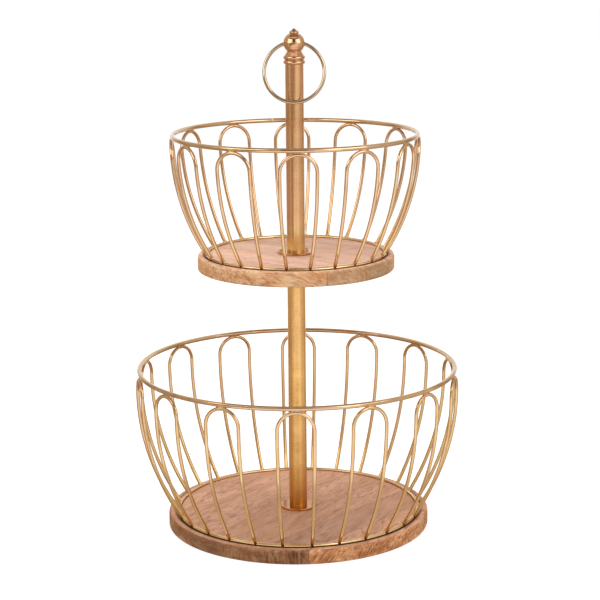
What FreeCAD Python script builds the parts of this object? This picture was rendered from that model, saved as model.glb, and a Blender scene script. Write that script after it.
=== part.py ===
import FreeCAD, Part
import math
import os
from FreeCAD import Vector

# Two-tier wire basket: two round wooden boards on a tube post, each with a wall of bent wire
# hoops under a rim, and a carry ring that swings in a turned finial.
# Millimetres, +Z up, front towards -Y, origin at the centre of the lower board's underside.

# Boards, edge-glued from staves
board_thickness = 14.0
board_top_round = 3.0
board_bottom_round = 1.5
lower_board_d = 250.0
upper_board_d = 185.0
lower_stave_width = 38.0
upper_stave_width = 37.0
least_stave_width = 8.0
lower_joint_offset = -12.0
upper_joint_offset = -18.5
lower_grain_angle = 50.0
upper_grain_angle = -35.0

# Wire, and how deep a weld sets one wire into another
rim_wire_d = 4.3
hoop_wire_d = 3.4
foot_ring_wire_d = 3.5
weld_bite = 0.3

# Seat of a foot ring: a groove in the board's top, wider than the wire on both sides
foot_groove_depth = 1.2
foot_groove_inner_gap = 0.6
foot_groove_outer_gap = 1.6

# Hoops: one bending radius for both baskets, crowns a little outside the rim's centreline
crown_bend_r = 16.5
crown_outset = 1.0

# Lower basket: centreline diameter of the rim, wall height from board to rim centre, how far the
# foot ring's centreline lies inside the board's edge, half the span of a hoop's feet, and how far
# the feet end outside and above the ring's centreline
lower_hoop_count = 14
lower_rim_d = 300.0
lower_wall_height = 139.5
lower_foot_inset = 9.7
lower_foot_half_span = 13.3
lower_foot_outset = 0.5
lower_foot_rise = 0.6

# Upper basket: turned a little against the lower one, with hoops that lean out
upper_hoop_count = 12
upper_turn = 2.0
upper_rim_d = 227.6
upper_wall_height = 112.0
upper_foot_inset = 8.7
upper_foot_half_span = 10.4
upper_crown_lean = 4.5

# Post
tube_od = 17.2
tube_wall = 1.2
lower_tube_length = 233.5
upper_tube_length = 175.0
flange_d = 35.0
flange_thickness = 2.0
flange_round = 0.8

# Fasteners inside the post
stud_d = 6.0
thread_grip = 12.0
plug_length = 16.0
plug_fit = 0.02
thread_fit = 0.05
stud_clearance = 0.3
washer_d = 18.0
washer_thickness = 1.5
screw_head_d = 11.0
screw_head_height = 3.3
socket_flats = 4.0
socket_depth = 2.0
recess_clearance = 1.0
recess_below_head = 1.2

# Finial, from the tube up: two half-round bands, a cone, a neck, a round ball and a pointed knob
bead_d = 20.4
bead_height = 3.6
groove_d = 18.2
groove_height = 0.7
collar_d = 20.4
collar_height = 3.6
flare_height = 3.2
neck_d = 13.8
neck_height = 0.8
ball_d = 19.9
knob_base_d = 8.0
knob_belly_d = 8.9
knob_belly_height = 0.8
knob_shoulder_d = 7.6
knob_shoulder_height = 1.8
knob_tip_d = 1.8
knob_height = 4.3
knob_tip_round = 0.3

# Carry ring: centreline diameter, wire, and the play that it has in its hole and at the tube
ring_d = 55.4
ring_wire_d = 3.4
ring_clearance = 0.3

# Levels and radii worked out from the sizes above
hoop_r = hoop_wire_d / 2
rim_r = rim_wire_d / 2
foot_ring_r = foot_ring_wire_d / 2
lower_foot_ring_d = lower_board_d - 2 * lower_foot_inset
upper_foot_ring_d = upper_board_d - 2 * upper_foot_inset
stud_r = stud_d / 2
tube_r = tube_od / 2
tube_bore_r = tube_r - tube_wall
ring_r = ring_d / 2
ring_wire_r = ring_wire_d / 2
ball_r = ball_d / 2

lower_board_top = board_thickness
lower_tube_z = lower_board_top + flange_thickness
upper_board_z = lower_tube_z + lower_tube_length
upper_board_top = upper_board_z + board_thickness
upper_tube_z = upper_board_top + flange_thickness
tube_top = upper_tube_z + upper_tube_length
neck_top = (tube_top + bead_height + groove_height + collar_height + flare_height
            + neck_height)
ball_middle_z = neck_top + math.sqrt(ball_r ** 2 - (neck_d / 2) ** 2)
knob_z = ball_middle_z + math.sqrt(ball_r ** 2 - (knob_base_d / 2) ** 2)

stud_hole_r = stud_r + stud_clearance
washer_ceiling = recess_below_head + screw_head_height + washer_thickness
recess_r = washer_d / 2 + recess_clearance

# The ring's arc rises by ring_sag inside the ball, so its hole is wider than its wire
ring_sag = ring_r - math.sqrt(ring_r ** 2 - ball_r ** 2)
ring_hole_r = ring_wire_r + ring_sag / 2 + ring_clearance
ring_reach = 2 * ring_r - ring_sag / 2
ring_tilt = math.asin((tube_r + ring_wire_r + ring_clearance) / ring_reach)

axis_up = Vector(0, 0, 1)
origin = Vector(0, 0, 0)


def arc(start, middle, end):
    return Part.Arc(start, middle, end).toShape()


def line(start, end):
    return Part.makeLine(start, end)


def at(radius, z):
    """A point of a turned profile."""
    return Vector(radius, 0, z)


def turned(edges):
    """The solid that a closed profile sweeps round the Z axis."""
    return Part.Face(Part.Wire(edges)).revolve(origin, axis_up, 360)


def outline(points):
    """Straight edges through the points, closed."""
    return Part.makePolygon(points + points[:1]).Edges


def rounded_corner(flat_end, corner, upright_end, radius):
    """A quarter circle between a flat face and an upright one."""
    centre = Vector(flat_end.x, 0, upright_end.z)
    outward = (corner - centre).normalize()
    return arc(flat_end, centre + outward * radius, upright_end)


def cap_arc(edge, top):
    """The arc of a turned profile that rises from its edge to a level top on the axis."""
    height = top - edge.z
    radius = (edge.x ** 2 + height ** 2) / (2 * height)
    half_turn = math.asin(edge.x / radius) / 2
    middle = at(radius * math.sin(half_turn), top - radius * (1 - math.cos(half_turn)))
    return arc(edge, middle, at(0, top))


def rod(diameter, bottom, top):
    return Part.makeCylinder(diameter / 2, top - bottom, Vector(0, 0, bottom))


def sleeve(outer_r, bore_r, bottom, top):
    height = top - bottom
    body = Part.makeCylinder(outer_r, height, Vector(0, 0, bottom))
    return body.cut(Part.makeCylinder(bore_r, height, Vector(0, 0, bottom)))


def wire_ring(diameter, wire_d, z):
    return Part.makeTorus(diameter / 2, wire_d / 2, Vector(0, 0, z))


def board_disc(diameter, bottom, foot_ring_d, recess_depth=0):
    """A round board with a foot ring's groove, a stud hole and an optional recess underneath."""
    radius = diameter / 2
    top = bottom + board_thickness
    groove_z = top - foot_groove_depth
    groove_outer_r = foot_ring_d / 2 + foot_ring_r + foot_groove_outer_gap
    groove_inner_r = foot_ring_d / 2 - foot_ring_r - foot_groove_inner_gap
    under_flat = at(radius - board_bottom_round, bottom)
    under_side = at(radius, bottom + board_bottom_round)
    top_side = at(radius, top - board_top_round)
    top_flat = at(radius - board_top_round, top)
    path = [top_flat, at(groove_outer_r, top), at(groove_outer_r, groove_z),
            at(groove_inner_r, groove_z), at(groove_inner_r, top), at(stud_hole_r, top),
            at(stud_hole_r, bottom + recess_depth)]
    if recess_depth:
        path += [at(recess_r, bottom + recess_depth), at(recess_r, bottom)]
    path.append(under_flat)
    edges = [line(a, b) for a, b in zip(path, path[1:])]
    edges.append(rounded_corner(under_flat, at(radius, bottom), under_side, board_bottom_round))
    edges.append(line(under_side, top_side))
    edges.append(rounded_corner(top_flat, at(radius, top), top_side, board_top_round))
    return turned(Part.__sortEdges__(edges))


def staves(disc, diameter, bottom, width, joint_offset, grain_angle):
    """The board's staves: planks side by side along the grain, with no sliver at an edge."""
    radius = diameter / 2
    reach = math.ceil(diameter / width)
    joints = [joint_offset + index * width for index in range(-reach, reach + 1)]
    joints = [joint for joint in joints if abs(joint) < radius - least_stave_width]
    edges = [-radius] + joints + [radius]
    pieces = []
    for start, end in zip(edges, edges[1:]):
        corner = Vector(-radius, start, bottom)
        plank = Part.makeBox(diameter, end - start, board_thickness, corner)
        plank.rotate(origin, axis_up, grain_angle)
        pieces.append(disc.common(plank).Solids[0])
    return pieces


def leg_arc(spring, foot, down):
    """The arc that leaves the spring point along down and ends at the foot."""
    chord = foot - spring
    inward = chord - down * chord.dot(down)
    inward.normalize()
    radius = chord.Length ** 2 / (2 * chord.dot(inward))
    half_turn = math.asin(chord.Length / (2 * radius))
    centre = spring + inward * radius
    middle = centre - inward * radius * math.cos(half_turn) + down * radius * math.sin(half_turn)
    return arc(spring, middle, foot)


def hoop(rim_radius, rim_z, crown_lean, foot_radius, foot_half_span, foot_z):
    """A bent wire hoop at the front: a half-circle crown between two curved legs."""
    lean = math.radians(crown_lean)
    up = Vector(0, -math.sin(lean), math.cos(lean))
    crown_drop = math.sqrt((rim_r + hoop_r - weld_bite) ** 2 - crown_outset ** 2)
    crown_top = Vector(0, -rim_radius - crown_outset, rim_z - crown_drop)
    centre = crown_top - up * crown_bend_r
    side = Vector(crown_bend_r, 0, 0)
    foot_y = -math.sqrt(foot_radius ** 2 - foot_half_span ** 2)
    left_foot = Vector(-foot_half_span, foot_y, foot_z)
    right_foot = Vector(foot_half_span, foot_y, foot_z)
    left_leg = leg_arc(centre - side, left_foot, -up)
    right_leg = leg_arc(centre + side, right_foot, -up)
    crown = arc(centre - side, crown_top, centre + side)
    path = Part.Wire([left_leg, crown, right_leg])
    start = left_leg.tangentAt(left_leg.LastParameter)
    section = Part.Wire(Part.makeCircle(hoop_r, left_foot, start))
    return path.makePipeShell([section], True, False)


def wire_basket(name, board_top, count, rim_d, wall_height, foot_ring_d, foot_half_span,
                foot_outset=0, foot_rise=0, turn=0, crown_lean=0):
    """A rim, a foot ring and the hoops between them, coped where they are welded on."""
    rim_z = board_top + wall_height
    foot_ring_z = board_top - foot_groove_depth + foot_ring_r
    rim = wire_ring(rim_d, rim_wire_d, rim_z)
    foot_ring = wire_ring(foot_ring_d, foot_ring_wire_d, foot_ring_z)
    front = hoop(rim_d / 2, rim_z, crown_lean, foot_ring_d / 2 + foot_outset,
                 foot_half_span, foot_ring_z + foot_rise)
    front = front.cut(rim).cut(foot_ring)
    pieces = {name + "_rim": rim, name + "_foot_ring": foot_ring}
    for index in range(count):
        copy = front.copy()
        copy.rotate(origin, axis_up, turn + index * 360 / count)
        pieces["%s_hoop_%02d" % (name, index + 1)] = copy
    return pieces


def flange(bottom):
    """A round plate with a rounded top edge and a hole for the stud."""
    radius = flange_d / 2
    top = bottom + flange_thickness
    side = at(radius, top - flange_round)
    flat = at(radius - flange_round, top)
    edges = [line(flat, at(stud_hole_r, top)),
             line(at(stud_hole_r, top), at(stud_hole_r, bottom)),
             line(at(stud_hole_r, bottom), at(radius, bottom)),
             line(at(radius, bottom), side),
             rounded_corner(flat, at(radius, top), side, flange_round)]
    return turned(Part.__sortEdges__(edges))


def plug(bottom):
    """A threaded plug in a tube end."""
    return sleeve(tube_bore_r - plug_fit, stud_r + thread_fit, bottom, bottom + plug_length)


def base_screw():
    """A low-headed socket screw, head down in the lower board's recess."""
    head_top = washer_ceiling - washer_thickness
    head_bottom = head_top - screw_head_height
    shank = rod(stud_d, head_top, lower_tube_z + thread_grip)
    head = rod(screw_head_d, head_bottom, head_top)
    corner_r = socket_flats / 2 / math.cos(math.radians(30))
    corners = [Vector(corner_r * math.cos(math.radians(60 * k)),
                      corner_r * math.sin(math.radians(60 * k)), head_bottom) for k in range(6)]
    socket = Part.Face(Part.Wire(outline(corners))).extrude(Vector(0, 0, socket_depth))
    return head.fuse(shank).removeSplitter().cut(socket)


def finial():
    """The turned finial with its stud, and the cross hole for the carry ring."""
    bead_top = tube_top + bead_height
    collar_bottom = bead_top + groove_height
    collar_top = collar_bottom + collar_height
    neck_bottom = collar_top + flare_height
    groove_r = groove_d / 2
    neck_r = neck_d / 2
    knob_base = at(knob_base_d / 2, knob_z)

    stud_end = tube_top - thread_grip
    tip_z = knob_z + knob_height
    tip_start = at(knob_tip_d / 2, tip_z - knob_tip_round)
    shoulder = at(knob_shoulder_d / 2, knob_z + knob_shoulder_height)
    edges = [line(at(0, tip_z), at(0, stud_end)),
             line(at(0, stud_end), at(stud_r, stud_end)),
             line(at(stud_r, stud_end), at(stud_r, tube_top)),
             line(at(stud_r, tube_top), at(groove_r, tube_top)),
             arc(at(groove_r, tube_top), at(bead_d / 2, tube_top + bead_height / 2),
                 at(groove_r, bead_top)),
             line(at(groove_r, bead_top), at(groove_r, collar_bottom)),
             arc(at(groove_r, collar_bottom), at(collar_d / 2, collar_bottom + collar_height / 2),
                 at(groove_r, collar_top)),
             line(at(groove_r, collar_top), at(neck_r, neck_bottom)),
             line(at(neck_r, neck_bottom), at(neck_r, neck_top)),
             arc(at(neck_r, neck_top), at(ball_r, ball_middle_z), knob_base),
             arc(knob_base, at(knob_belly_d / 2, knob_z + knob_belly_height), shoulder),
             line(shoulder, tip_start),
             cap_arc(tip_start, tip_z)]
    hole_start = Vector(-ball_d, 0, ball_middle_z)
    hole = Part.makeCylinder(ring_hole_r, 2 * ball_d, hole_start, Vector(1, 0, 0))
    return turned(edges).cut(hole)


def carry_ring():
    """The carry ring through the ball, leaning on the front of the tube."""
    hang = Vector(0, -math.sin(ring_tilt), -math.cos(ring_tilt))
    centre = Vector(0, 0, ball_middle_z) + hang * (ring_r - ring_sag / 2)
    return Part.makeTorus(ring_r, ring_wire_r, centre, Vector(1, 0, 0).cross(hang))


nodes = {}

lower_disc = board_disc(lower_board_d, 0, lower_foot_ring_d, washer_ceiling)
upper_disc = board_disc(upper_board_d, upper_board_z, upper_foot_ring_d)
for number, stave in enumerate(staves(lower_disc, lower_board_d, 0, lower_stave_width,
                                      lower_joint_offset, lower_grain_angle), 1):
    nodes["lower_board_stave_%d" % number] = stave
for number, stave in enumerate(staves(upper_disc, upper_board_d, upper_board_z,
                                      upper_stave_width, upper_joint_offset,
                                      upper_grain_angle), 1):
    nodes["upper_board_stave_%d" % number] = stave

# The legs stand on their foot rings, the lower ones a little outside the ring's centreline
nodes.update(wire_basket("lower", lower_board_top, lower_hoop_count, lower_rim_d,
                         lower_wall_height, lower_foot_ring_d, lower_foot_half_span,
                         foot_outset=lower_foot_outset, foot_rise=lower_foot_rise))
nodes.update(wire_basket("upper", upper_board_top, upper_hoop_count, upper_rim_d,
                         upper_wall_height, upper_foot_ring_d, upper_foot_half_span,
                         turn=upper_turn, crown_lean=upper_crown_lean))

nodes["lower_flange"] = flange(lower_board_top)
nodes["upper_flange"] = flange(upper_board_top)
nodes["lower_tube"] = sleeve(tube_r, tube_bore_r, lower_tube_z, upper_board_z)
nodes["upper_tube"] = sleeve(tube_r, tube_bore_r, upper_tube_z, tube_top)
nodes["lower_tube_foot_plug"] = plug(lower_tube_z)
nodes["lower_tube_head_plug"] = plug(upper_board_z - plug_length)
nodes["upper_tube_foot_plug"] = plug(upper_tube_z)
nodes["upper_tube_head_plug"] = plug(tube_top - plug_length)
nodes["joining_stud"] = rod(stud_d, upper_board_z - thread_grip, upper_tube_z + thread_grip)
nodes["base_washer"] = sleeve(washer_d / 2, stud_hole_r, washer_ceiling - washer_thickness,
                              washer_ceiling)
nodes["base_screw"] = base_screw()
nodes["finial"] = finial()
nodes["carry_ring"] = carry_ring()

os.makedirs("parts", exist_ok=True)
for name, shape in nodes.items():
    shape.exportStep(os.path.join("parts", name + ".step"))
print("carry ring: axis height %.3f, lean %.3f degrees" % (ball_middle_z, math.degrees(ring_tilt)))
print("%d nodes, height %.2f" % (len(nodes), knob_z + knob_height))
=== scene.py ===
import math
from collections import namedtuple

import bmesh
import bpy
from mathutils import Matrix, Vector, noise


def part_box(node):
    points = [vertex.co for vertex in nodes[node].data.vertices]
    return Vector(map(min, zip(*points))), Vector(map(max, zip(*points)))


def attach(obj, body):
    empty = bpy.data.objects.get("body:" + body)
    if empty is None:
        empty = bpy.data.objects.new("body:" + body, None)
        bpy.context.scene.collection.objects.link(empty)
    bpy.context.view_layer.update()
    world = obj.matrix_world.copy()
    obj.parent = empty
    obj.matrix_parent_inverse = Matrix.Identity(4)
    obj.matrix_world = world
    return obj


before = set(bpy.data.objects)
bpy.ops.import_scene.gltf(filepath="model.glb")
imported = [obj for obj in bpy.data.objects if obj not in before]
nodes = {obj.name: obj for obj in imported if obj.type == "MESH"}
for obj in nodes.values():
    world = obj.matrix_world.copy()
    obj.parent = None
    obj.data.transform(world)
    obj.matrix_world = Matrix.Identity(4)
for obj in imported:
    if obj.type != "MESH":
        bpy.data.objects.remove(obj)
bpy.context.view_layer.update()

# Camera, worked out from the ellipses of the rims and boards in the photograph
image_px = 600
focal_px = 1824
sensor_mm = 36
camera_distance = 1.686
camera_height = 0.5873
camera_pitch = 0.2156
camera_yaw = 0.0020
camera_roll = -0.009
camera_orbit = math.radians(0.6)

# Weld beads, as half lengths along the ring, half widths across it and half heights
crown_weld = (0.0048, 0.0017, 0.0013)
lower_foot_weld = (0.0020, 0.0015, 0.0010)
upper_foot_weld = (0.0027, 0.0018, 0.0012)
bead_seed_step = 3.7

# Where the beads sit: how far outside the rim's centreline, and how far below the rim's or above
# the foot ring's centreline as a share of the wire's radius
crown_outset = 0.0003
crown_drop = 0.92
foot_lift = 0.9

# Butt joint of the upper rim
butt_weld_length = 0.0016
butt_weld_swell = 1.07
butt_weld_sink = 0.03
butt_weld_angle = math.radians(102)

# Light: the floor's own glow, which the lamps bring up to white, and the even light all round
floor_glow = 0.74
room_light = 0.55

# A painted reflection near the foot of a piece, standing in for what the metal reflects there: the
# foot's height, the height where it has faded out, its share at the foot, and its colour
Tint = namedtuple("Tint", "foot fades share colour")


def lin(red, green, blue):
    """A colour given in sRGB steps of 0 to 255, as a linear RGBA value."""
    def one(value):
        share = value / 255
        return share / 12.92 if share <= 0.04045 else ((share + 0.055) / 1.055) ** 2.4
    return (one(red), one(green), one(blue), 1.0)


white = (1, 1, 1, 1)
tarnish = lin(128, 82, 44)


class Graph:
    """A material's node tree, with short calls for the nodes that the finishes share."""

    def __init__(self, name):
        self.material = bpy.data.materials.new(name)
        self.material.use_nodes = True
        self.tree = self.material.node_tree
        self.shader = self.tree.nodes["Principled BSDF"]

    def add(self, kind, **settings):
        node = self.tree.nodes.new(kind)
        for key, value in settings.items():
            setattr(node, key, value)
        return node

    def link(self, source, target):
        """Joins an output to an input, or sets the input to a plain value."""
        if hasattr(source, "is_linked"):
            self.tree.links.new(source, target)
        else:
            target.default_value = source

    def shade(self, **inputs):
        """Links or sets inputs of the Principled shader, named with _ for each space."""
        for key, value in inputs.items():
            self.link(value, self.shader.inputs[key.replace("_", " ")])

    def surface(self, shader):
        """Makes a shader the surface in place of the Principled one."""
        self.link(shader, self.tree.nodes["Material Output"].inputs["Surface"])

    def place(self, angle=0.0, stretch=(1, 1, 1), shift=(0, 0, 0), lean=0.0):
        """Object coordinates leant and turned, so that X runs along the grain, then stretched."""
        coords = self.add("ShaderNodeTexCoord")
        turned = self.add("ShaderNodeVectorRotate", rotation_type="EULER_XYZ")
        turned.inputs["Rotation"].default_value = (0, lean, -angle)
        scaled = self.add("ShaderNodeMapping")
        scaled.inputs["Location"].default_value = shift
        scaled.inputs["Scale"].default_value = stretch
        self.link(coords.outputs["Object"], turned.inputs["Vector"])
        self.link(turned.outputs["Vector"], scaled.inputs["Vector"])
        return scaled.outputs["Vector"]

    def split(self, vector):
        """The X, Y and Z of a vector."""
        node = self.add("ShaderNodeSeparateXYZ")
        self.link(vector, node.inputs["Vector"])
        return node.outputs

    def from_post(self, spot):
        """The level distance of a split vector from the post's axis."""
        squares = [self.math("POWER", spot[axis], 2.0) for axis in "XY"]
        return self.math("SQRT", self.math("ADD", *squares))

    def noise(self, vector, scale, detail=3.0, rough=0.55, distortion=0.0):
        node = self.add("ShaderNodeTexNoise")
        self.link(vector, node.inputs["Vector"])
        node.inputs["Scale"].default_value = scale
        node.inputs["Detail"].default_value = detail
        node.inputs["Roughness"].default_value = rough
        node.inputs["Distortion"].default_value = distortion
        return node.outputs["Fac"]

    def spread(self, value, low, high, to_low=0.0, to_high=1.0):
        """The value with low to high mapped to another range, and clamped there."""
        node = self.add("ShaderNodeMapRange", clamp=True)
        self.link(value, node.inputs["Value"])
        node.inputs["From Min"].default_value = low
        node.inputs["From Max"].default_value = high
        node.inputs["To Min"].default_value = to_low
        node.inputs["To Max"].default_value = to_high
        return node.outputs["Result"]

    def math(self, operation, first, second=0.0):
        node = self.add("ShaderNodeMath", operation=operation)
        self.link(first, node.inputs[0])
        self.link(second, node.inputs[1])
        return node.outputs["Value"]

    def mix(self, share, first, second, blend="MIX"):
        """Two colours mixed, with no channel above 1."""
        node = self.add("ShaderNodeMix", data_type="RGBA", blend_type=blend, clamp_result=True)
        self.link(share, node.inputs["Factor"])
        colours = [socket for socket in node.inputs if socket.type == "RGBA"]
        self.link(first, colours[0])
        self.link(second, colours[1])
        return [socket for socket in node.outputs if socket.type == "RGBA"][0]

    def toned(self, colour, tone):
        """A colour made lighter or darker by a factor."""
        return self.mix(1.0, colour, (tone, tone, tone, 1), "MULTIPLY")

    def bump(self, height, depth, strength=1.0):
        node = self.add("ShaderNodeBump")
        node.inputs["Strength"].default_value = strength
        node.inputs["Distance"].default_value = depth
        self.link(height, node.inputs["Height"])
        return node.outputs["Normal"]

    def glow(self, colour, strength=1.0):
        node = self.add("ShaderNodeEmission")
        self.link(colour, node.inputs["Color"])
        self.link(strength, node.inputs["Strength"])
        return node.outputs["Emission"]


def in_view(tree):
    """1 for rays from the camera, in reflections and through clear pieces, and otherwise 0."""
    path = tree.nodes.new("ShaderNodeLightPath")
    seen = path.outputs["Is Camera Ray"]
    for output in ("Is Glossy Ray", "Is Transmission Ray"):
        either = tree.nodes.new("ShaderNodeMath")
        either.operation = "MAXIMUM"
        tree.links.new(seen, either.inputs[0])
        tree.links.new(path.outputs[output], either.inputs[1])
        seen = either.outputs["Value"]
    return seen


def gold(name, bright, deep, rose, roughness, brushed=0.0, painted_foot_tint=None):
    """Gold finish on steel: a blotchy tone, fine drawing lines and a thin clear lacquer.

    brushed is the strength of the brushing round the post."""
    g = Graph(name)
    plain = g.place()
    drawn = g.place(stretch=(0.05, 0.05, 2.5)) if brushed else plain
    blotches = g.noise(plain, scale=45, detail=4.0, rough=0.6)
    blush = g.noise(plain, scale=11, detail=2.0)
    specks = g.noise(plain, scale=420, detail=3.0, rough=0.7)
    lines = g.noise(drawn, scale=1500, detail=2.0)

    colour = g.mix(g.spread(blotches, 0.38, 0.62), bright, deep)
    colour = g.mix(g.spread(blush, 0.45, 0.62, 0, 0.7), colour, rose)
    colour = g.mix(g.spread(specks, 0.66, 0.80, 0, 0.4), colour, tarnish)
    # Painted reflection: the colour near the foot stands in for what the metal reflects there
    if painted_foot_tint:
        height = g.split(plain)["Z"]
        painted_share = g.spread(height, painted_foot_tint.foot, painted_foot_tint.fades, painted_foot_tint.share, 0.0)
        colour = g.mix(painted_share, colour, painted_foot_tint.colour)

    rough = g.math("ADD", g.spread(blotches, 0.3, 0.7, roughness - 0.04, roughness + 0.04),
                   g.spread(lines, 0.35, 0.65, -0.02, 0.03))
    g.shade(Base_Color=colour, Roughness=rough, Normal=g.bump(lines, depth=0.00001, strength=0.1),
            Metallic=1.0, Coat_Weight=0.1, Coat_Roughness=0.12)
    if brushed:
        round_axis = g.add("ShaderNodeTangent", direction_type="RADIAL", axis="Z")
        g.shade(Tangent=round_axis.outputs["Tangent"], Anisotropic=brushed,
                Anisotropic_Rotation=0.25)
    return g.material


def weld(name, bright, dark, metallic):
    """Weld metal under the gold finish: rougher, and darker in its hollows."""
    g = Graph(name)
    grain = g.noise(g.place(), scale=750, detail=4.0, rough=0.7)
    colour = g.mix(g.spread(grain, 0.42, 0.66), bright, dark)
    g.shade(Base_Color=colour, Roughness=g.spread(grain, 0.3, 0.7, 0.28, 0.5),
            Normal=g.bump(grain, depth=0.0003, strength=0.6), Metallic=metallic)
    return g.material


def zinc(name):
    """Zinc plate: a grey crystal pattern with a faint warm tone."""
    g = Graph(name)
    crystals = g.add("ShaderNodeTexVoronoi")
    g.link(g.place(), crystals.inputs["Vector"])
    crystals.inputs["Scale"].default_value = 700
    tone = g.spread(crystals.outputs["Distance"], 0.0, 0.8)
    g.shade(Base_Color=g.mix(tone, lin(178, 178, 172), lin(206, 204, 196)), Metallic=1.0,
            Roughness=g.spread(tone, 0, 1, 0.3, 0.42))
    return g.material


# Boards: how the staves run, as in the CAD model, and their colours. Each stave has a tone for its
# face and for its edge, a skew of its grain in degrees, and the lean and the strength of the hatch
# on its edge. The tones are partly each stave's own colour and partly painted light and shade, most
# of all on the edges. A stave's number of steps sets where in the grain's pattern it is cut from.
least_stave = 0.008
stave_step = (0.37, 0.113, 0.029)
boards = {
    "lower": {"grain": math.radians(50), "joint": -0.012, "stave": 0.038, "radius": 0.125,
              "light": lin(229, 177, 145), "dark": lin(204, 150, 117), "dash": lin(138, 88, 63),
              "pale": lin(245, 201, 170), "pore": lin(92, 52, 34), "amber": lin(206, 150, 98),
              "edge_light": lin(214, 158, 110), "edge_dark": lin(160, 100, 58),
              # Next: the colour of the painted shade in the foot ring's groove and on its lip
              "ring_shade": lin(78, 44, 28),
              "staves": ((1.08, 1.58, 18, -0.7, 0.7), (0.84, 0.76, 14, 0.1, 0.9),
                         (0.95, 0.79, 12, 0.05, 0.4), (0.97, 0.64, 8, 0.0, 0.3),
                         (0.97, 0.84, 5, 0.0, 0.3), (1.0, 0.95, 9, 0.1, 0.4),
                         (1.04, 0.95, 12, 0.2, 0.4))},
    "upper": {"grain": math.radians(-35), "joint": -0.0185, "stave": 0.037, "radius": 0.0925,
              "light": lin(248, 205, 179), "dark": lin(231, 182, 154), "dash": lin(178, 124, 98),
              "pale": lin(251, 216, 192), "pore": lin(146, 90, 60), "amber": lin(236, 184, 140),
              "edge_light": lin(248, 200, 152), "edge_dark": lin(219, 157, 106),
              # Next: the colour of the painted shade in the foot ring's groove and on its lip
              "ring_shade": lin(122, 76, 48),
              "staves": ((0.93, 1.14, 6, 1.2, 0.7), (0.96, 0.87, 0, 0.9, 0.5),
                         (0.87, 0.72, 8, 0.7, 0.4), (0.77, 0.84, 12, 0.2, 0.3),
                         (0.76, 0.92, 4, 0.2, 0.3))},
}

# Glue lines, and the painted shade in a foot ring's groove and on the lip outside it: the width,
# the share of it that has full strength, and the strength
glue_line, glue_core, glue_strength = 0.00035, 0.3, 0.55
shade_wide, shade_core, shade_strength = 0.0034, 0.4, 0.85


def face_grain(g, board, angle, shift, fine):
    """The colour of a stave's face: bands, amber patches and short streaks along the grain."""
    bands = g.noise(g.place(angle, (0.14, 1, 1), shift), scale=42, detail=4.0, rough=0.6,
                    distortion=1.2)
    patches = g.noise(g.place(angle, (0.35, 1, 1), shift), scale=26, detail=2.0, rough=0.5)
    streaks = g.noise(g.place(angle, (0.24, 1, 1), shift), scale=370, detail=3.0, rough=0.6,
                      distortion=0.6)
    colour = g.mix(g.spread(bands, 0.38, 0.62), board["dark"], board["light"])
    colour = g.mix(g.spread(patches, 0.58, 0.70, 0, 0.45), colour, board["amber"])
    crowded = g.spread(patches, 0.62, 0.38, 0.15, 1.0)
    dark_streaks = g.math("MULTIPLY", g.spread(streaks, 0.51, 0.66, 0, 0.7), crowded)
    colour = g.mix(dark_streaks, colour, board["dash"])
    colour = g.mix(g.spread(streaks, 0.42, 0.30, 0, 0.45), colour, board["pale"])
    return g.mix(g.spread(fine, 0.46, 0.64, 0, 0.6), colour, board["dark"])


def edge_grain(g, board, angle, shift, lean, hatching):
    """The colour of a stave's edge: clouds, level layers and an upright or leaning hatch."""
    clouds = g.noise(g.place(angle, (0.4, 0.4, 0.8), shift), scale=110, detail=3.0, rough=0.6)
    layers = g.noise(g.place(angle, (0.08, 0.08, 1), shift), scale=430, detail=4.0, rough=0.65,
                     distortion=0.5)
    hatch = g.noise(g.place(angle, (1, 1, 0.12), shift, lean), scale=480, detail=4.0, rough=0.65)
    colour = g.mix(g.spread(clouds, 0.36, 0.64), board["edge_light"], board["edge_dark"])
    colour = g.mix(g.spread(layers, 0.48, 0.66, 0, 0.6), colour, board["edge_dark"])
    colour = g.mix(g.spread(layers, 0.44, 0.32, 0, 0.5), colour, board["edge_light"])
    colour = g.mix(g.spread(hatch, 0.48, 0.66, 0, hatching), colour, board["pore"])
    return g.mix(g.spread(hatch, 0.44, 0.32, 0, hatching), colour, board["edge_light"])


def glue_lines(g, board):
    """How much glue line shows: only at the joints, with none beyond the outermost joints."""
    across = g.split(g.place(board["grain"]))["Y"]
    from_joint = g.math("PINGPONG", g.math("SUBTRACT", across, board["joint"]),
                        board["stave"] / 2)
    inside = g.math("LESS_THAN", g.math("ABSOLUTE", across), board["radius"] - least_stave)
    line = g.spread(from_joint, glue_line * glue_core, glue_line, glue_strength, 0)
    return g.math("MULTIPLY", line, inside)


def ring_painted_shade(g, board):
    """How much painted shade shows: in the foot ring's groove and on the lip outside it."""
    spot = g.split(g.place())
    reach = g.from_post(spot)
    ring_r, wire_r, ring_z = board["ring"]
    outside = ring_r + wire_r
    in_groove = g.spread(reach, ring_r - wire_r, ring_r - wire_r * 0.5)
    by_groove = g.spread(reach, outside + shade_wide * shade_core, outside + shade_wide,
                         shade_strength, 0)
    near_top = g.math("GREATER_THAN", spot["Z"], ring_z - wire_r * 1.2)
    return g.math("MULTIPLY", g.math("MULTIPLY", in_groove, by_groove), near_top)


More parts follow.
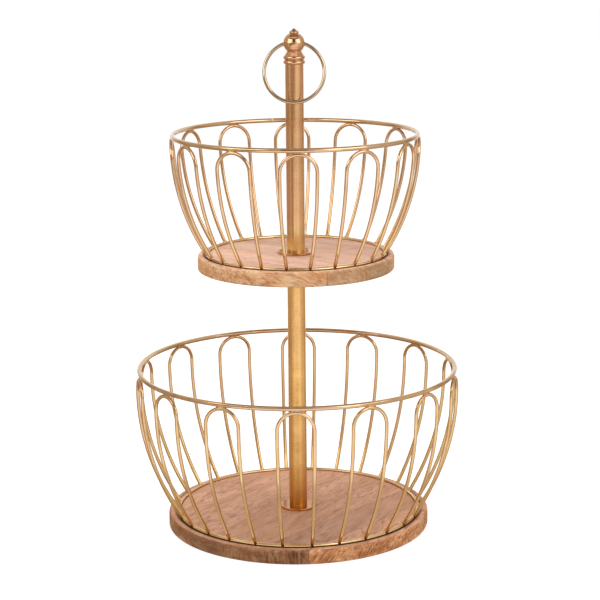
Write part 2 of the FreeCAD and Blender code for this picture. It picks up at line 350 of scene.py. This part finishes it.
def wood(name, board, stave, shift):
    """Oiled mango wood as a solid: face, edge, pores, glue lines and painted shade at the foot
    ring.
    """
    g = Graph(name)
    top_tone, end_tone, skew, lean, hatching = stave
    angle = board["grain"] + math.radians(skew)
    hairs = g.place(angle, (0.07, 1, 1), shift)
    fine = g.noise(hairs, scale=820, detail=3.0, rough=0.7)
    pores = g.noise(hairs, scale=560, detail=4.0, rough=0.75)
    pore_mask = g.math("MULTIPLY", g.spread(pores, 0.56, 0.66), 0.5)

    face = g.toned(face_grain(g, board, angle, shift, fine), top_tone)
    edge = g.toned(edge_grain(g, board, angle, shift, lean, hatching), end_tone)
    facing = g.split(g.add("ShaderNodeNewGeometry").outputs["Normal"])
    on_edge = g.spread(g.math("ABSOLUTE", facing["Z"]), 0.985, 0.7)
    colour = g.mix(on_edge, face, edge)
    colour = g.mix(pore_mask, colour, board["pore"])
    colour = g.mix(glue_lines(g, board), colour, board["pore"])
    # Painted shade: darker in the foot ring's groove and on the lip just outside it
    colour = g.mix(ring_painted_shade(g, board), colour, board["ring_shade"])

    relief = g.math("SUBTRACT", g.math("MULTIPLY", fine, 0.5), pore_mask)
    g.shade(Base_Color=colour, Normal=g.bump(relief, depth=0.0002, strength=0.5), IOR=1.45,
            Specular_IOR_Level=0.3, Roughness=g.spread(fine, 0.3, 0.7, 0.55, 0.72))
    return g.material


def floor_material():
    """Pale floor that turns white for the camera and in reflections, and keeps the shadow."""
    g = Graph("floor_white")
    g.shade(Base_Color=(0.5, 0.5, 0.5, 1), Roughness=0.9, Specular_IOR_Level=0.0)
    total = g.add("ShaderNodeAddShader")
    g.link(g.shader.outputs["BSDF"], total.inputs[0])
    g.link(g.glow(white, g.math("MULTIPLY", in_view(g.tree), floor_glow)), total.inputs[1])
    g.surface(total.outputs["Shader"])
    return g.material


def new_object(name, data):
    made = bpy.data.objects.new(name, data)
    bpy.context.scene.collection.objects.link(made)
    return made


def paint(node, material):
    """Gives a CAD node its material."""
    mesh = nodes[node].data
    mesh.materials.clear()
    mesh.materials.append(material)


def ring_of(node):
    """Centreline radius, wire radius and height of a wire ring that lies level."""
    low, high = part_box(node)
    wire_r = (high.z - low.z) / 2
    return high.x - wire_r, wire_r, (low.z + high.z) / 2


def outward(angle):
    """The level way out from the post, at an angle round it."""
    return Vector((math.cos(angle), math.sin(angle), 0))


def onward(angle):
    """The level way along a ring round the post, at an angle round it."""
    return Vector((-math.sin(angle), math.cos(angle), 0))


def hoops_of(basket):
    return sorted(name for name in nodes if name.startswith(basket + "_hoop_"))


def hoop_angle(name):
    low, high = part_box(name)
    middle = (low + high) / 2
    return math.atan2(middle.y, middle.x)


def hoop_feet(name):
    """The middles of a hoop's two feet, from the lowest points of its solid."""
    foot_height = 0.002
    tangent = onward(hoop_angle(name))
    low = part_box(name)[0].z
    points = [v.co for v in nodes[name].data.vertices if v.co.z < low + foot_height]
    feet = []
    for side in (-1, 1):
        own = [p for p in points if side * p.dot(tangent) > 0]
        feet.append(sum(own, Vector()) / len(own))
    return feet


def skin(bm, rows):
    """Joins neighbouring rows of points, each of which goes once round, with faces."""
    for first, second in zip(rows, rows[1:]):
        for k in range(len(first)):
            after = (k + 1) % len(first)
            bm.faces.new((first[k], first[after], second[after], second[k]))


def weld_piece(name, bm, material):
    """Makes a piece of weld metal, which moves with the basket, from a finished bmesh."""
    bmesh.ops.recalc_face_normals(bm, faces=bm.faces)
    mesh = bpy.data.meshes.new(name)
    bm.to_mesh(mesh)
    bm.free()
    mesh.shade_smooth()
    mesh.materials.append(material)
    made = new_object(name, mesh)
    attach(made, "basket")


def bead(bm, centre, along, out, half_sizes, seed):
    """A weld bead: a rounded run along the ring, uneven and faintly rippled."""
    half_length, half_width, half_height = half_sizes
    ripple_height, ripple_turns = 0.05, 9
    lump_height, lump_scale = 0.18, 900
    up = out.cross(along)
    stations, spokes = 14, 14
    rows = []
    for i in range(1, stations):
        t = -math.cos(math.pi * i / stations)
        swell = math.sqrt(1 - t * t) ** 0.8
        ripple = 1 + ripple_height * math.sin(ripple_turns * t + seed)
        spot = centre + along * t * half_length
        row = []
        for k in range(spokes):
            turn = 2 * math.pi * k / spokes
            way = out * math.cos(turn) * half_width + up * math.sin(turn) * half_height
            lump = noise.noise((spot + way) * lump_scale + Vector((seed, 0, 0)))
            row.append(bm.verts.new(spot + way * swell * ripple * (1 + lump_height * lump)))
        rows.append(row)
    skin(bm, rows)
    for row, end in ((rows[0], -1), (rows[-1], 1)):
        tip = bm.verts.new(centre + along * end * half_length)
        for k in range(spokes):
            after = (k + 1) % spokes
            corners = (row[after], row[k], tip) if end < 0 else (row[k], row[after], tip)
            bm.faces.new(corners)


def weld_beads(name, places, half_sizes, material):
    """One piece with a bead at each place, given as (centre, angle round the post)."""
    bm = bmesh.new()
    for index, (centre, angle) in enumerate(places):
        bead(bm, centre, onward(angle), outward(angle), half_sizes, bead_seed_step * index)
    weld_piece(name, bm, material)


def bead_place(reach, angle, height):
    return Vector((reach * math.cos(angle), reach * math.sin(angle), height)), angle


def crown_places(basket):
    """Where each hoop's crown meets the rim: under the rim, a little outside its centreline."""
    radius, wire_r, height = ring_of(basket + "_rim")
    return [bead_place(radius + crown_outset, hoop_angle(name), height - wire_r * crown_drop)
            for name in hoops_of(basket)]


def foot_places(basket):
    """Where each leg meets the foot ring: on top of the ring's wire, under the leg."""
    radius, wire_r, height = ring_of(basket + "_foot_ring")
    places = []
    for name in hoops_of(basket):
        for foot in hoop_feet(name):
            reach = (radius + math.hypot(foot.x, foot.y)) / 2
            angle = math.atan2(foot.y, foot.x)
            places.append(bead_place(reach, angle, height + wire_r * foot_lift))
    return places


def butt_weld(name, rim, angle, material):
    """The ground butt joint that closes a rim: a short swelling round the wire."""
    radius, wire_r, height = ring_of(rim)
    lump_height, lump_scale = 0.03, 1200
    bm = bmesh.new()
    stations, spokes = 9, 20
    rows = []
    for i in range(stations):
        t = 2 * i / (stations - 1) - 1
        out = outward(angle + t * butt_weld_length / radius)
        spot = out * radius + Vector((0, 0, height))
        sink = butt_weld_sink if abs(t) == 1 else 0
        swell = 1 + (butt_weld_swell - 1) * (1 - t * t) - sink
        row = []
        for k in range(spokes):
            spoke = 2 * math.pi * k / spokes
            way = out * math.cos(spoke) + Vector((0, 0, math.sin(spoke)))
            lump = noise.noise((spot + way * wire_r) * lump_scale)
            row.append(bm.verts.new(spot + way * wire_r * swell * (1 + lump_height * lump)))
        rows.append(row)
    skin(bm, rows)
    weld_piece(name, bm, material)


# Finishes. The gold parts share one finish on steel; the copies here are set lighter or darker
# part by part, which paints in the light and reflections each part shows: the foot rings lighter,
# the flanges darker.
# The wires' tints near their feet are painted reflections
lower_wire_gold = gold("lower_wire_gold", lin(228, 193, 144), lin(206, 170, 118),
                       lin(222, 182, 144), roughness=0.08,
                       painted_foot_tint=Tint(0.016, 0.09, 0.6, lin(222, 180, 102)))
upper_wire_gold = gold("upper_wire_gold", lin(226, 192, 151), lin(204, 167, 125),
                       lin(222, 182, 150), roughness=0.08,
                       painted_foot_tint=Tint(0.265, 0.325, 0.5, lin(222, 180, 110)))
# Lighter than the wires' gold: a painted highlight on the foot rings
foot_ring_gold_painted_light = gold("foot_ring_gold_painted_light", lin(240, 207, 152), lin(216, 180, 122),
                      lin(230, 192, 150), roughness=0.12)
rim_gold = gold("rim_gold", lin(220, 184, 139), lin(195, 157, 113),
                lin(213, 181, 146), roughness=0.07)
ring_gold = gold("ring_gold", lin(207, 188, 156), lin(178, 156, 124),
                 lin(200, 176, 150), roughness=0.1)
# The tubes' tints near their feet are painted reflections
lower_tube_gold = gold("lower_tube_gold", lin(243, 197, 128), lin(228, 178, 105),
                       lin(234, 182, 120), roughness=0.23, brushed=1.0,
                       painted_foot_tint=Tint(0.020, 0.058, 0.85, lin(190, 130, 40)))
upper_tube_gold = gold("upper_tube_gold", lin(224, 176, 126), lin(202, 154, 104),
                       lin(218, 168, 126), roughness=0.18, brushed=0.6,
                       painted_foot_tint=Tint(0.268, 0.294, 0.9, lin(228, 200, 132)))
turned_gold = gold("turned_gold", lin(220, 172, 130), lin(196, 146, 104),
                   lin(216, 164, 128), roughness=0.1)
# Darker than the tubes' gold: a painted dark reflection on the flanges
flange_gold_painted_shade = gold("flange_gold_painted_shade", lin(206, 148, 92), lin(180, 120, 66),
                   lin(202, 142, 92), roughness=0.14)
weld_gold = weld("weld_gold", lin(222, 182, 130), lin(178, 134, 86), metallic=1.0)
foot_weld_gold = weld("foot_weld_gold", lin(240, 204, 152), lin(206, 164, 112), metallic=0.4)
zinc_steel = zinc("zinc_steel")

for basket, board in boards.items():
    board["ring"] = ring_of(basket + "_foot_ring")
    for index, stave in enumerate(board["staves"], 1):
        shift = [step * index for step in stave_step]
        wood_name = "%s_wood_%d" % (basket, index)
        paint("%s_board_stave_%d" % (basket, index), wood(wood_name, board, stave, shift))

for name in nodes:
    if "_hoop_" in name:
        paint(name, lower_wire_gold if name.startswith("lower") else upper_wire_gold)
    elif name.endswith("_foot_ring"):
        paint(name, foot_ring_gold_painted_light)
    elif name.endswith("_rim"):
        paint(name, rim_gold)
    elif name == "carry_ring":
        paint(name, ring_gold)
    elif name.endswith("_tube"):
        paint(name, lower_tube_gold if name.startswith("lower") else upper_tube_gold)
    elif name.endswith("_flange"):
        paint(name, flange_gold_painted_shade)
    elif name == "finial":
        paint(name, turned_gold)
    elif "stave" not in name:
        paint(name, zinc_steel)

# Welds
for basket in ("lower", "upper"):
    weld_beads(basket + "_crown_welds", crown_places(basket), crown_weld, weld_gold)
weld_beads("lower_foot_welds", foot_places("lower"), lower_foot_weld, foot_weld_gold)
weld_beads("upper_foot_welds", foot_places("upper"), upper_foot_weld, foot_weld_gold)
butt_weld("upper_rim_joint", "upper_rim", butt_weld_angle, foot_weld_gold)

# Floor
floor_half = 20.0
floor_sides = ((-1, -1), (1, -1), (1, 1), (-1, 1))
floor_corners = [(x * floor_half, y * floor_half, 0) for x, y in floor_sides]
floor_mesh = bpy.data.meshes.new("floor")
floor_mesh.from_pydata(floor_corners, [], [(0, 1, 2, 3)])
floor_mesh.materials.append(floor_material())
new_object("floor", floor_mesh)


def softbox(name, place, size, power):
    """A square area lamp that faces the middle of the object."""
    aim = Vector((0, 0, 0.25))
    lamp = bpy.data.lights.new(name, "AREA")
    lamp.shape = "RECTANGLE"
    lamp.size = lamp.size_y = size
    lamp.energy = power
    made = new_object(name, lamp)
    made.location = place
    made.rotation_euler = (aim - Vector(place)).to_track_quat("-Z", "Y").to_euler()
    return made


softbox("softbox_left", (-1.64, -1.38, 1.34), size=1.6, power=14)
softbox("softbox_right", (1.64, -1.38, 1.34), size=1.6, power=14)
top_light = softbox("softbox_top", (0, 0.5, 2.3), size=1.3, power=20)
top_light.visible_glossy = False


def reflection_card(name, points, faces, material):
    """A studio card that only reflections see, to give the metal its darker sides."""
    mesh = bpy.data.meshes.new(name)
    mesh.from_pydata(points, [], faces)
    mesh.materials.append(material)
    card = new_object(name, mesh)
    card.visible_camera = False
    card.visible_diffuse = False
    card.visible_shadow = False


def card_material(name, colour):
    g = Graph(name)
    g.surface(g.glow(colour))
    return g.material


def bowl_material(name, warm):
    """The bowl's tone: bright beside its opening, high up and behind, and dim at the flanks.

    The dimmer it is, the warmer. Turns are measured from the camera's side, to either hand."""
    g = Graph(name)
    spot = g.split(g.place())
    reach = g.from_post(spot)
    front = g.math("MULTIPLY", spot["Y"], -1.0)
    turn = g.math("ABSOLUTE", g.math("ARCTAN2", spot["X"], front))

    on_left = g.math("LESS_THAN", spot["X"], 0.0)
    on_right = g.math("SUBTRACT", 1.0, on_left)
    left = g.spread(turn, math.radians(38), math.radians(85), 0.95, 0.45)
    right = g.spread(turn, math.radians(44), math.radians(112), 1.0, 0.5)
    flanks = g.math("ADD", g.math("MULTIPLY", left, on_left), g.math("MULTIPLY", right, on_right))

    from_side = g.math("ABSOLUTE", g.math("SUBTRACT", turn, math.radians(97)))
    side_strip = g.spread(from_side, math.radians(4), math.radians(20), 0.16, 0)
    high_up = g.spread(spot["Z"], 0.44, 0.56, 0, 0.72)
    backdrop = g.math("MULTIPLY", g.spread(turn, math.radians(96), math.radians(150)),
                      g.spread(reach, 0.4, 0.5))
    near_board = g.spread(reach, 0.19, 0.23, 0.75, 1.0)

    level = g.math("ADD", flanks, side_strip)
    level = g.math("MAXIMUM", level, high_up)
    level = g.math("MAXIMUM", level, backdrop)
    level = g.math("MULTIPLY", level, near_board)
    g.surface(g.glow(g.mix(g.spread(level, 0.35, 0.95), warm, white), level))
    return g.material


def round_the_post(radius, turn, height):
    """A point at a turn from the camera's side, to the right seen from the camera."""
    return (radius * math.sin(turn), -radius * math.cos(turn), height)


def studio_bowl(inner, apron, outer, half_gap, low, high, tall_from, material):
    """Cards on the floor and round the object, open to the camera and low beside that opening."""
    steps = 90
    off_floor = 0.001
    turns = [2 * math.pi * k / steps for k in range(steps + 1)]
    points, faces = [], []
    for start, end in zip(turns, turns[1:]):
        middle = (start + end) / 2
        from_camera = min(middle, 2 * math.pi - middle)
        shape = [(inner, off_floor), (apron, off_floor)]
        if from_camera > half_gap:
            shape += [(outer, off_floor), (outer, low)]
        if from_camera > tall_from:
            shape.append((outer, high))
        for (r0, z0), (r1, z1) in zip(shape, shape[1:]):
            first = len(points)
            points += [round_the_post(r0, start, z0), round_the_post(r1, start, z1),
                       round_the_post(r1, end, z1), round_the_post(r0, end, z0)]
            faces.append((first, first + 1, first + 2, first + 3))
    reflection_card("card_bowl", points, faces, material)


def studio_ceiling(radius, back, height, material):
    """A dim card overhead, set back so that the front of the room stays bright."""
    steps = 32
    points = []
    for k in range(steps):
        x, y, z = round_the_post(radius, 2 * math.pi * k / steps, height)
        points.append((x, y + back, z))
    reflection_card("card_above", points, [tuple(range(steps))], material)


def studio_flag(radius, corners, material):
    """A slanted card in front on the left, which dims that side of the upper tube.

    Its corners are given as a turn in degrees and a height."""
    points = [round_the_post(radius, math.radians(turn), height) for turn, height in corners]
    reflection_card("card_flag", points, [tuple(range(len(points)))], material)


def studio_canopy(radius, middle, rows, material):
    """A dark card over the camera, given as rows of tilt and half turn in degrees.

    Its wide part is above the two front soft boxes, and its narrow part between them."""
    steps = 12
    points, faces = [], []
    for tilt, half_turn in rows:
        height = middle + radius * math.sin(math.radians(tilt))
        reach = radius * math.cos(math.radians(tilt))
        for k in range(steps + 1):
            turn = math.radians(half_turn) * (2 * k / steps - 1)
            points.append(round_the_post(reach, turn, height))
    for row in range(len(rows) - 1):
        for k in range(steps):
            first = row * (steps + 1) + k
            faces.append((first, first + 1, first + steps + 2, first + steps + 1))
    reflection_card("card_canopy", points, faces, material)


studio_bowl(inner=0.13, apron=0.23, outer=0.62, half_gap=math.radians(38), low=0.47, high=1.5,
            tall_from=math.radians(78), material=bowl_material("card_warm", (1.0, 0.77, 0.54, 1)))
studio_ceiling(radius=0.9, back=0.6, height=1.3,
               material=card_material("card_dim", (0.32, 0.28, 0.25, 1)))
studio_flag(radius=0.6,
            corners=((-52, 0.13), (-28, 0.13), (-24, 0.25), (16, 0.40), (16, 0.52), (-52, 0.52)),
            material=card_material("card_grey", (0.44, 0.35, 0.29, 1)))
studio_canopy(radius=1.3, middle=0.45, rows=((9, 13), (41, 13), (44, 84), (54, 84)),
              material=card_material("card_brown", (0.18, 0.10, 0.06, 1)))


def studio_world():
    """Even studio light, and a white background for the camera and in reflections."""
    world = bpy.data.worlds.new("studio")
    bpy.context.scene.world = world
    world.use_nodes = True
    tree = world.node_tree
    strength = tree.nodes.new("ShaderNodeMapRange")
    strength.inputs["To Min"].default_value = room_light
    strength.inputs["To Max"].default_value = 1.0
    tree.links.new(in_view(tree), strength.inputs["Value"])
    background = tree.nodes["Background"]
    background.inputs["Color"].default_value = white
    tree.links.new(strength.outputs["Result"], background.inputs["Strength"])


def photo_camera():
    """The photograph's viewpoint, with its slight roll."""
    data = bpy.data.cameras.new("camera")
    data.sensor_width = sensor_mm
    data.lens = focal_px / image_px * sensor_mm
    camera = new_object("camera", data)
    forward = Vector((math.sin(camera_yaw) * math.cos(camera_pitch),
                      math.cos(camera_yaw) * math.cos(camera_pitch), -math.sin(camera_pitch)))
    right = Vector((math.cos(camera_yaw), -math.sin(camera_yaw), 0))
    up = right.cross(forward)
    rolled_right = right * math.cos(camera_roll) + up * math.sin(camera_roll)
    rolled_up = up * math.cos(camera_roll) - right * math.sin(camera_roll)
    turn = Matrix((rolled_right, rolled_up, -forward)).transposed().to_4x4()
    place = Matrix.Translation((0, -camera_distance, camera_height))
    camera.matrix_world = Matrix.Rotation(camera_orbit, 4, "Z") @ place @ turn
    bpy.context.scene.camera = camera


studio_world()
photo_camera()
bpy.context.scene.view_settings.view_transform = "Standard"
